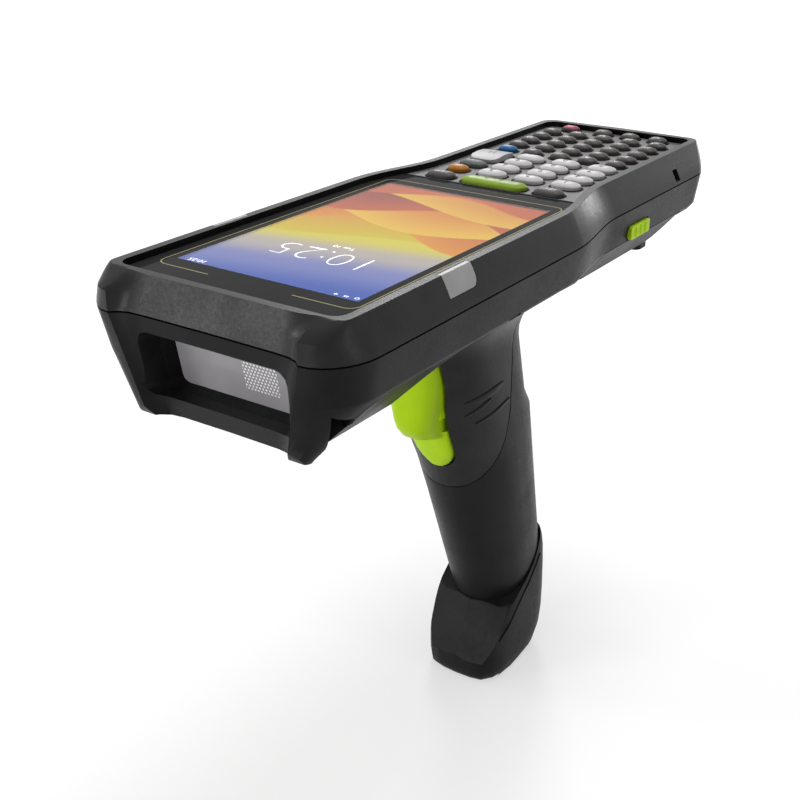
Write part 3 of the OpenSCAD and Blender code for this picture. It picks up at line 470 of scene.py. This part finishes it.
def roundedDistance(shade, x, y, halfX, halfY, middle, r):
    # distance to the edge of a rounded rectangle, below 0 inside
    outX = shade.minus(shade.absolute(x), halfX - r)
    outY = shade.minus(shade.absolute(shade.minus(y, middle)), halfY - r)
    corner = shade.distance(shade.math("MAXIMUM", outX, 0.0), shade.math("MAXIMUM", outY, 0.0))
    inside = shade.math("MINIMUM", shade.math("MAXIMUM", outX, outY), 0.0)
    return shade.minus(shade.plus(corner, inside), r)


glassLook = {
    "color": (0.9, 0.9, 0.9), "roughness": 0.06, "ior": 1.2, "reflection": 0.05,
    "window": (0.97, 0.97, 0.97), "windowCorner": 0.4,
    "borders": ((0.027, 0.027, 0.0275), (0.036, 0.036, 0.0365)), "borderPatch": 30,
    "gloss": (0.04, 0.09), "glossPatch": 12,
}
glassLine = {
    "half": 28.15, "front": -4.7, "back": 90.4, "corner": 3.0, "wide": 0.34,
    "gapHalf": 12.0, "gapDeep": 2.0, "color": (0.42, 0.38, 0.20),
}


def screenGlass():
    # clear over the picture, with a printed dark border and a thin line round it
    shade = Shader("screenGlass", glassLook["color"], glassLook["roughness"],
        IOR=glassLook["ior"], Specular_IOR_Level=glassLook["reflection"])
    x, y = shade.axes("XY")
    window = roundedDistance(shade, x, y, screenHalf, (screenBack - screenFront) / 2, screenMiddle,
        glassLook["windowCorner"] * mm)
    clear = shade.below(window, 0.0)
    start, end = screenFront + glassLine["front"] * mm, screenFront + glassLine["back"] * mm
    ring = roundedDistance(shade, x, y, glassLine["half"] * mm, (end - start) / 2, (start + end) / 2,
        glassLine["corner"] * mm)
    line = shade.below(shade.absolute(ring), glassLine["wide"] * mm / 2)
    atGap = shade.times(shade.below(shade.absolute(x), glassLine["gapHalf"] * mm),
        shade.below(y, start + glassLine["gapDeep"] * mm))
    line = shade.times(line, shade.minus(1.0, atGap))
    border = shade.mix(shade.patches(glassLook["borderPatch"], 1, 0, 1), *glassLook["borders"])
    shade.color(shade.mix(clear, shade.mix(line, border, glassLine["color"]), glassLook["window"]))
    shade.join(clear, shade.bsdf.inputs["Transmission Weight"])
    shade.rough(shade.patches(glassLook["glossPatch"], 3, *glassLook["gloss"]))
    return shade.material


# pale grey-mauve that is partly the glass's tint and partly a painted reflection of a soft lamp
scanTintAndPaintedReflection = {
    "color": (0.31, 0.30, 0.31), "roughness": 0.12, "reflection": 0.2, "tintPatch": 16,
    "tints": ((0.285, 0.273, 0.290), (0.33, 0.318, 0.327)), "gloss": (0.10, 0.16), "glossPatch": 8,
}
dotPatch = {
    "x": (1.1, 11.0), "z": (139.3, 146.5), "pitch": 0.95, "rowShare": 0.866, "radius": 0.27,
    "color": (0.86, 0.86, 0.86),
}


def scanGlass():
    # tinted window coloured pale grey, partly its tint and partly a painted reflection of a soft lamp, with
    # a patch of printed dots for the aimer
    shade = Shader("tintedScanWindow", scanTintAndPaintedReflection["color"], scanTintAndPaintedReflection["roughness"],
        Specular_IOR_Level=scanTintAndPaintedReflection["reflection"])
    x, z = shade.axes("XZ")
    tint = shade.mix(shade.patches(scanTintAndPaintedReflection["tintPatch"], 2, 0, 1), *scanTintAndPaintedReflection["tints"])
    pitch = dotPatch["pitch"] * mm
    rowPitch = pitch * dotPatch["rowShare"]
    row = shade.math("DIVIDE", z, rowPitch)
    stagger = shade.times(shade.math("FLOORED_MODULO", shade.math("FLOOR", row), 2.0), 0.5)
    column = shade.plus(shade.math("DIVIDE", x, pitch), stagger)
    dx = shade.times(shade.minus(shade.math("FRACT", column), 0.5), pitch)
    dz = shade.times(shade.minus(shade.math("FRACT", row), 0.5), rowPitch)
    dot = shade.below(shade.distance(dx, dz), dotPatch["radius"] * mm)
    for place, (low, high) in ((x, dotPatch["x"]), (z, dotPatch["z"])):
        near = shade.below(shade.absolute(shade.minus(place, (low + high) / 2 * mm)), (high - low) / 2 * mm)
        dot = shade.times(dot, near)
    shade.color(shade.mix(dot, tint, dotPatch["color"]))
    shade.rough(shade.patches(scanTintAndPaintedReflection["glossPatch"], 3, *scanTintAndPaintedReflection["gloss"]))
    return shade.material


print("building materials")
plainSlots = {
    "upper_shell": "satinUpperShell", "lower_shell": "satinLowerShell", "battery_case": "batteryCase",
    "black_rubber": "softRubber", "black_plastic": "blackPlastic", "keypad_plate": "keypadPlate",
    "lime": "limePlastic", "light_key": "lightKeyCap", "grey_key": "greyKeyCap",
    "orange_key": "orangeKeyCap", "blue_key": "blueKeyCap", "dark_key": "darkKeyCap",
}
materials = {slot: mouldedPlastic(name).material for slot, name in plainSlots.items()}
materials.update({
    "red_key": powerKeyCap(),
    "light_pipe": lightPipe(),
    "frame_metal": castMetal("castFrame"),
    "steel": castMetal("plainSteel"),
    "contact_metal": castMetal("goldContacts"),
    "board": circuitBoard(),
    "lens": coatedLens(),
    "display": litScreen(),
    "glass": screenGlass(),
})
litLatchMaterial = mouldedPlastic("limeLatch").material
ownFinish = {
    "scan_window": scanGlass(),
    "scan_key": mouldedPlastic("limeScanKey").material,
    "enter_key": mouldedPlastic("lightEnterKey").material,
    "battery_latch_left": litLatchMaterial,
    "battery_latch_right": litLatchMaterial,
}
for nodeName, node in cadNodes.items():
    node.data.materials.clear()
    node.data.materials.append(ownFinish.get(nodeName, materials[slotOf[nodeName]]))

# finished skins over the outer pieces
print("finishing the shells")
skins = {
    # width of the softened edges in millimetres, angle that counts as an edge, angle shaded smooth
    "front_housing": (0.35, 35, 35),
    "rear_housing": (0.35, 38, 38),
    "handle_grip": (0.3, 45, 45),
    "handle_shroud": (0.3, 45, 45),
    "handle_boot": (0.5, 40, 40),
    "battery_pack": (0.4, 30, 30),
    "trigger": (0.6, 40, 40),
    "keypad_plate": (0.12, 40, 40),
    "led_pipe_left": (0.15, 35, 35),
    "led_pipe_right": (0.15, 35, 35),
    "window_bezel": (0.15, 35, 35),
    "battery_latch_left": (0.25, 35, 35),
    "battery_latch_right": (0.25, 35, 35),
}
bootToe = {
    # where the middle of the facets starts and ends, as y and z
    "top": (10.8, 22.0), "low": (3.8, 7.6),
    "sweep": 0.2, "block": 30, "creaseFrom": 3, "near": 0.01, "flat": 0.99,
}


def shapeBootToe(skin):
    # two facets slope from the collar down to the toe and meet in a crease in the middle
    (topY, topZ), (lowY, lowZ) = bootToe["top"], bootToe["low"]
    block, near = bootToe["block"], bootToe["near"] * mm
    up = Vector((0, topY - lowY, topZ - lowZ)).normalized()
    for side in (-1, 1):
        outward = up.cross(Vector((side, bootToe["sweep"], 0))).normalized() * (-side)
        middle = Vector((0, lowY, lowZ)) + outward * block
        deselectAll()
        bpy.ops.mesh.primitive_cube_add(size=2 * block * mm, location=middle * mm,
            rotation=outward.to_track_quat("Z", "Y").to_euler())
        cutter = bpy.context.active_object
        cut = skin.modifiers.new("toeFacet", "BOOLEAN")
        cut.operation = "DIFFERENCE"
        cut.object = cutter
        applyModifiers(skin)
        selectOnly(cutter)
        bpy.ops.object.delete()
    for face in skin.data.polygons:
        face.select = abs(face.normal.z) > bootToe["flat"] and face.center.z < near
    openMarkedFaces(skin)
    bpy.ops.mesh.dissolve_faces()
    bpy.ops.mesh.select_all(action="SELECT")
    bpy.ops.mesh.normals_make_consistent(inside=False)
    closeMesh()
    creaseFrom = bootToe["creaseFrom"] * mm
    for edge in skin.data.edges:
        ends = [skin.data.vertices[i].co for i in edge.vertices]
        edge.use_edge_sharp = all(abs(end.x) < near and end.z > creaseFrom for end in ends)


shaping = {"handle_boot": shapeBootToe}
for nodeName, (width, edge, smooth) in skins.items():
    shape = shaping.get(nodeName)
    finishedSkin(nodeName, camelName(nodeName, "Skin"), width, edge, smooth, shape=shape)
    print("  ", nodeName, "done")

sideRidges = {
    # raised lines on both sides of a piece: start and end as y and z, then width, all in millimetres
    "handle_shroud": [((-14.8, 109.4), (-0.5, 112.4), 2.2), ((-13.6, 105.0), (-6.5, 109.3), 1.1),
        ((-10.5, 102.0), (3.4, 106.1), 1.1)],
    "handle_boot": [((11.0, 15.0), (35.0, 37.0), 0.8)],
}
ridgeForm = {"rim": 36, "cuts": 14, "thick": 0.6, "soft": 0.18, "start": 40, "edge": 50}


def layRidges(nodeName):
    # long lens shapes laid on the surface from the side and thickened
    skin = bpy.data.objects[camelName(nodeName, "Skin")]
    for number, (start, end, width) in enumerate(sideRidges[nodeName], 1):
        run = Vector((0, end[0] - start[0], end[1] - start[1])) * mm
        half, along = run.length / 2, run.normalized()
        for side, label in ((-1, "Right"), (1, "Left")):
            deselectAll()
            bpy.ops.mesh.primitive_circle_add(vertices=ridgeForm["rim"], radius=1, fill_type="NGON")
            ridge = bpy.context.active_object
            ridge.name = camelName(nodeName, "Ridge") + label + str(number)
            openMesh(ridge)
            bpy.ops.transform.resize(value=(half, width / 2 * mm, 1))
            for cut in range(1, ridgeForm["cuts"]):
                cutThrough((half * (2 * cut / ridgeForm["cuts"] - 1), 0, 0), (1, 0, 0))
            closeMesh()
            out = Vector((side, 0, 0))
            fromX = side * ridgeForm["start"]
            middle = Vector((fromX, (start[0] + end[0]) / 2, (start[1] + end[1]) / 2)) * mm
            turn = Matrix((along, out.cross(along), out)).transposed().to_4x4()
            ridge.matrix_world = Matrix.Translation(middle) @ turn
            applyPlace(ridge)
            layOnto(ridge, skin, "x", -side)
            thicken(ridge, ridgeForm["thick"], 0)
            soften(ridge, ridgeForm["soft"], ridgeForm["edge"])
            applyModifiers(ridge)
            shadeSmooth(ridgeForm["edge"])
            ridge.data.materials.append(skin.data.materials[0])
            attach(ridge, bodyOf[nodeName])


for nodeName in sideRidges:
    layRidges(nodeName)

shadedInnerWall = {"deeper": 0.9, "topGap": 0.25, "tilt": 0.55}


def paintInnerWallShade():
    # painted shade: the step down to the glass and the keypad is coloured glossy black, standing for the
    # shadow in the well
    skin = bpy.data.objects["frontHousingSkin"]
    skin.data.materials.append(mouldedPlastic("blackInnerWall").material)
    low = glassTop - shadedInnerWall["deeper"] * mm
    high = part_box("front_housing")[1].z - shadedInnerWall["topGap"] * mm
    for face in skin.data.polygons:
        middle, out = face.center, face.normal
        sideways = abs(out.x) > abs(out.y)
        inward = out.x * middle.x < 0 if sideways else out.y * middle.y < 0
        face.select = inward and abs(out.z) < shadedInnerWall["tilt"] and low < middle.z < high
    openMarkedFaces(skin)
    skin.active_material_index = 1
    bpy.ops.object.material_slot_assign()
    closeMesh()


paintInnerWallShade()

dividerBead = {"wide": 1.0, "proud": 0.22, "margin": 0.6, "rounds": 12, "soft": 0.06, "smooth": 40}


def layDividerBead():
    # black sealing bead in the joint between the glass and the keypad
    low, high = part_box("cover_glass")
    joint = (high.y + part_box("keypad_plate")[0].y) / 2
    length = high.x - low.x - 2 * dividerBead["margin"] * mm
    deselectAll()
    bpy.ops.mesh.primitive_cylinder_add(vertices=dividerBead["rounds"], depth=length,
        radius=dividerBead["wide"] / 2 * mm, location=(0, joint, glassTop), rotation=(0, math.pi / 2, 0))
    bead = bpy.context.active_object
    bead.name = "dividerBead"
    applyPlace(bead)
    openMesh(bead)
    flatness = 2 * dividerBead["proud"] / dividerBead["wide"]
    bpy.ops.transform.resize(value=(1, 1, flatness), center_override=(0, joint, glassTop))
    closeMesh()
    soften(bead, dividerBead["soft"])
    applyModifiers(bead)
    shadeSmooth(dividerBead["smooth"])
    bead.data.materials.append(mouldedPlastic("sealingBead").material)
    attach(bead, bodyOf["cover_glass"])


layDividerBead()

keyNodes = [n for n in cadNodes if n.endswith("_key") or n.startswith(("number_key", "letter_row"))]
keyGapShadow = {"wide": 0.75, "low": 0.01, "tall": 0.09, "clear": 0.02}


def drawKeyJoints():
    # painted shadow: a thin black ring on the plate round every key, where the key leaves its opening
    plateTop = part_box("keypad_plate")[1].z
    gapShadows = copyOf(*keyNodes)
    gapShadows.name = "keyJoints"
    openMesh(gapShadows)
    bpy.ops.mesh.remove_doubles(threshold=mergeWithin)
    cutThrough((0, 0, plateTop + keyGapShadow["low"] * mm), (0, 0, 1), clear_inner=True)
    cutThrough((0, 0, plateTop + keyGapShadow["tall"] * mm), (0, 0, 1), clear_outer=True)
    bpy.ops.mesh.select_all(action="SELECT")
    bpy.ops.transform.shrink_fatten(value=-keyGapShadow["clear"] * mm)
    closeMesh()
    thicken(gapShadows, keyGapShadow["wide"], 1, even=True)
    applyModifiers(gapShadows)
    gapShadows.data.materials.clear()
    gapShadows.data.materials.append(mouldedPlastic("jointShadowBlack").material)
    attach(gapShadows, bodyOf["keypad_plate"])


drawKeyJoints()

print("rounding the keys")
capForm = {"edgeWidth": 0.35, "edgeAngle": 35, "smoothAngle": 35, "segments": 3}
for nodeName in keyNodes:
    finishedSkin(nodeName, camelName(nodeName, "Cap"), **capForm)

# printed legends and the lit clock
print("printing the legends")
legend = {
    "digits": "321654987.0*",
    "rows": ["ABCD", "EFGHI", "JKLMN", "OPQRS", "TUVWX", "YZ_"],
    "digitSize": 3.1, "letterSize": 2.7, "markSize": 2.4,
    "curveSteps": 3, "cuts": 2, "above": 1, "thick": 0.03, "lift": 0.03,
    "marks": {
        "scan_key": ("<  -  >", "dark"), "left_function_key": ("F1", "pale"),
        "right_function_key": ("F2", "pale"), "enter_key": ("[ ]", "dark"), "shift_key": ("+", "pale"),
    },
}
inks = {
    # printing material and the name of a slot
    "dark": (mouldedPlastic("darkInk").material, "dark_key"),
    "pale": (mouldedPlastic("paleInk").material, "light_key"),
}


def flatWord(words, size, place, slim=0.0):
    # lettering that a user at the keypad end reads the right way up
    deselectAll()
    bpy.ops.object.text_add(location=place, rotation=(0, 0, math.pi))
    word = bpy.context.active_object
    word.data.body = words
    word.data.size = size * mm
    word.data.align_x = "CENTER"
    word.data.align_y = "CENTER"
    word.data.resolution_u = legend["curveSteps"]
    word.data.offset = slim * mm
    bpy.ops.object.convert(target="MESH")
    applyPlace(word)
    return word


def finishPrint(words, pieceName, nodeName, material, slot, cap=None):
    # joins the words of one piece, lays them on its cap and gives them a thickness
    selectOnly(*words)
    if len(words) > 1:
        bpy.ops.object.join()
    ink = bpy.context.active_object
    ink.name = pieceName
    if cap:
        openMesh(ink)
        bpy.ops.mesh.subdivide(number_cuts=legend["cuts"])
        closeMesh()
        wrap = layOnto(ink, cap, "z", -1)
        wrap.wrap_mode = "ABOVE_SURFACE"
        wrap.offset = legend["lift"] * mm
    thicken(ink, legend["thick"], -1)
    applyModifiers(ink)
    ink.data.materials.clear()
    ink.data.materials.append(material)
    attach(ink, bodyOf[nodeName])


def keyMiddles(cap):
    # middles of the separate caps in one row, from the user's left to the right
    selectOnly(cap)
    bpy.ops.object.duplicate()
    bpy.ops.mesh.separate(type="LOOSE")
    singles = bpy.context.selected_objects
    middles = [sum(corner[0] for corner in single.bound_box) / 8 for single in singles]
    bpy.ops.object.delete()
    return sorted(middles, reverse=True)


def printKeys(nodeName, words, size, ink):
    cap = bpy.data.objects[camelName(nodeName, "Cap")]
    low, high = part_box(nodeName)
    middles = keyMiddles(cap) if len(words) > 1 else [(low.x + high.x) / 2]
    y, z = (low.y + high.y) / 2, high.z + legend["above"] * mm
    flat = [flatWord(word, size, (x, y, z)) for word, x in zip(words, middles)]
    finishPrint(flat, camelName(nodeName, "Legend"), nodeName, *inks[ink], cap)


for i, digit in enumerate(legend["digits"], 1):
    printKeys("number_key_%d" % i, [digit], legend["digitSize"], "dark")
for i, letters in enumerate(legend["rows"], 1):
    printKeys("letter_row_%d" % i, list(letters), legend["letterSize"], "pale")
for nodeName, (mark, ink) in legend["marks"].items():
    printKeys(nodeName, [mark], legend["markSize"], ink)

clockLight = {
    "color": (0.8, 0.8, 0.82), "roughness": 0.4, "patch": 3,
    "tints": ((0.93, 0.94, 1.0), (1.0, 1.0, 1.0)), "glow": 0.8, "lift": 0.04,
}


def litClockFace():
    shade = Shader("litClockFace", clockLight["color"], clockLight["roughness"])
    glow = shade.mix(shade.patches(clockLight["patch"], 1, 0, 1), *clockLight["tints"])
    shade.join(glow, shade.bsdf.inputs["Emission Color"])
    shade.bsdf.inputs["Emission Strength"].default_value = clockLight["glow"]
    return shade.material


clock = {
    # words, size, place across and along the screen, and how much slimmer, in millimetres
    "hours": ("10:25", 13.5, 0, 22.5, -0.42),
    "day": ("Tue 10", 2.2, 0, 30.0, 0),
    "smallHours": ("10:25", 2.4, 4 - screenHalf / mm, 2.6, 0),
    "status": ("o  =  +", 2.4, screenHalf / mm - 5, 2.6, 0),
}
faceUp = panelHigh.z + clockLight["lift"] * mm
clockWords = [flatWord(words, size, (across * mm, screenFront + along * mm, faceUp), slim)
    for words, size, across, along, slim in clock.values()]
finishPrint(clockWords, "screenClock", "display_panel", litClockFace(), "display")

# stage, light and camera
print("setting the stage")
stageFloor = {
    "size": 12, "below": 0.2, "color": (0.5, 0.5, 0.5), "roughness": 0.9,
    # metres from the middle, and the brightness there
    "near": 0.25, "far": 1.3, "nearGlow": 0.55, "farGlow": 0.92,
}


def layFloor():
    # pale floor that keeps the shadow, seen from above only
    bpy.ops.mesh.primitive_plane_add(size=stageFloor["size"], location=(0, 0, -stageFloor["below"] * mm))
    floor = bpy.context.active_object
    floor.name = "paleFloor"
    shade = Shader("paleFloor", stageFloor["color"], stageFloor["roughness"], Specular_IOR_Level=0.0)
    path = shade.add("ShaderNodeLightPath").outputs
    seen = shade.math("MAXIMUM", path["Is Camera Ray"],
        shade.math("MAXIMUM", path["Is Glossy Ray"], path["Is Transmission Ray"]))
    shade.bsdf.inputs["Emission Color"].default_value = (1, 1, 1, 1)
    x, y = shade.axes("XY")
    glow = shade.spread(shade.distance(x, y), stageFloor["near"], stageFloor["far"],
        stageFloor["nearGlow"], stageFloor["farGlow"])
    shade.join(shade.times(seen, glow), shade.bsdf.inputs["Emission Strength"])
    clear = shade.add("ShaderNodeBsdfTransparent")
    chooser = shade.add("ShaderNodeMixShader")
    shade.join(shade.add("ShaderNodeNewGeometry").outputs["Backfacing"], chooser.inputs[0])
    shade.join(shade.bsdf.outputs[0], chooser.inputs[1])
    shade.join(clear.outputs[0], chooser.inputs[2])
    shade.join(chooser.outputs[0], shade.tree.nodes["Material Output"].inputs[0])
    floor.data.materials.append(shade.material)


layFloor()
airStrength = {"fill": 0.34, "seen": 1.0}


def fillAir():
    # white where it is seen directly, in a mirror or through glass, and dimmer as light
    world = bpy.data.worlds.new("studioAir")
    bpy.context.scene.world = world
    world.use_nodes = True
    air = world.node_tree
    background = air.nodes["Background"]
    background.inputs["Color"].default_value = (1, 1, 1, 1)
    path = air.nodes.new("ShaderNodeLightPath").outputs
    seen = path["Is Camera Ray"]
    for kind in ("Is Transmission Ray", "Is Glossy Ray"):
        either = air.nodes.new("ShaderNodeMath")
        either.operation = "MAXIMUM"
        air.links.new(seen, either.inputs[0])
        air.links.new(path[kind], either.inputs[1])
        seen = either.outputs[0]
    strength = air.nodes.new("ShaderNodeMapRange")
    strength.inputs["To Min"].default_value = airStrength["fill"]
    strength.inputs["To Max"].default_value = airStrength["seen"]
    air.links.new(seen, strength.inputs["Value"])
    air.links.new(strength.outputs[0], background.inputs["Strength"])


fillAir()
lamps = {
    # place, what it points at, size, watts
    "frontSoft": ((-0.62, -0.85, 0.28), (0, -0.05, 0.12), 0.35, 2.8),
    "leftSoft": ((-1.25, -0.35, 0.35), (0, 0, 0.10), 0.4, 3.0),
    "lowSoft": ((-0.05, -1.25, 0.12), (0, -0.05, 0.12), 0.35, 5.0),
    "topSoft": ((0.05, 0.25, 1.25), (0, 0, 0.12), 0.45, 5.0),
    "sideSoft": ((1.3, 0.1, 0.45), (0, 0, 0.1), 0.4, 2.0),
    "rimSoft": ((-0.61, 1.01, 0.91), (0, 0, 0.16), 0.4, 6.0),
    "waistSoft": ((0.12, 1.32, 0.23), (0, 0, 0.15), 0.2, 0.9),
}
for lampName, (place, target, size, watts) in lamps.items():
    bpy.ops.object.light_add(type="AREA", location=place)
    lamp = bpy.context.active_object
    lamp.name = lampName
    lamp.data.shape = "DISK"
    lamp.data.size = size
    lamp.data.energy = watts
    lamp.rotation_euler = (Vector(place) - Vector(target)).to_track_quat("Z", "Y").to_euler()

productCamera = {
    "place": (0.16643, -0.27412, 0.24781), "degrees": (65.5162, -0.3564, 34.2787),
    "sensor": 36, "lens": 53.977, "clip": (0.01, 50),
}
cameraTurn = [math.radians(angle) for angle in productCamera["degrees"]]
bpy.ops.object.camera_add(location=productCamera["place"], rotation=cameraTurn)
camera = bpy.context.active_object
camera.name = "productCamera"
camera.data.sensor_width = productCamera["sensor"]
camera.data.lens = productCamera["lens"]
camera.data.clip_start, camera.data.clip_end = productCamera["clip"]
bpy.context.scene.camera = camera
bpy.context.scene.view_settings.view_transform = "Standard"
